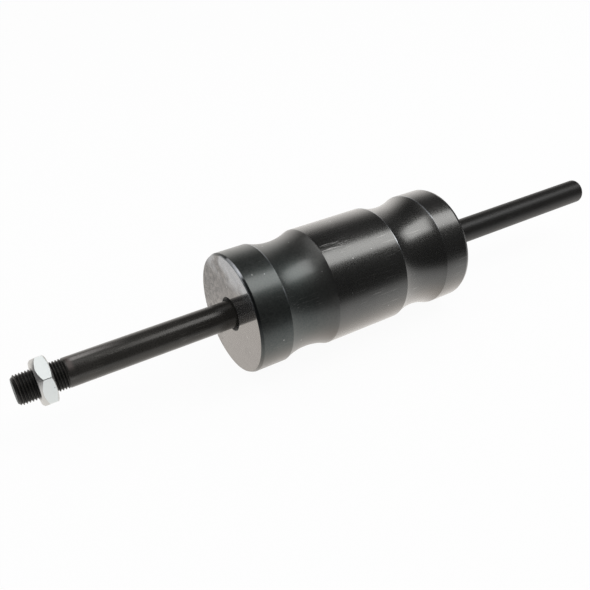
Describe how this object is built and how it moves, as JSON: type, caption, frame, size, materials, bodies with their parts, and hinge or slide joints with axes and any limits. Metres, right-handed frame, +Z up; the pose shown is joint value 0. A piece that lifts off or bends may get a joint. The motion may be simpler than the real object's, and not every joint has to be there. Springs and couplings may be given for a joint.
{
  "type": "slide hammer puller",
  "caption": "Hand slide hammer: a threaded steel rod with a thin jam nut and a heavy turned weight with two grip grooves that slides between hidden stops.",
  "frame": {"origin": "on the rod's axis in the plane of the jam nut's front face, where an adapter on the free thread is seated", "axes": "+X along the rod from the threaded front toward the plain rear end, +Z up as the tool lies on a bench"},
  "size_m": [0.402, 0.07, 0.07],
  "materials": {
    "black_rod": "satin",
    "zinc_plate": "satin",
    "blued_steel": "satin",
    "black_screw": "satin",
    "ground_steel": "satin",
    "spring_steel": "satin"
  },
  "bodies": {
    "rod": {"rod": "black_rod", "ring_front": "spring_steel", "ring_rear": "spring_steel"},
    "nut": {"jam_nut": "zinc_plate"},
    "collar": {"stop_collar": "ground_steel"},
    "weight": {"weight_body": "blued_steel", "end_plug": "blued_steel", "lock_screw_left": "black_screw", "lock_screw_right": "black_screw"}
  },
  "joints": [
    {"name": "nut_travel", "type": "slide", "parent": "rod", "child": "nut", "axis": [1, 0, 0], "range_m": [-0.0075, 0.006]},
    {"name": "weight_spin", "type": "hinge", "parent": "rod", "child": "collar", "pos_m": [0.1968, 0, 0], "axis": [1, 0, 0], "continuous": true},
    {"name": "weight_slide", "type": "slide", "parent": "collar", "child": "weight", "axis": [1, 0, 0], "range_m": [-0.034, 0.064]}
  ]
}
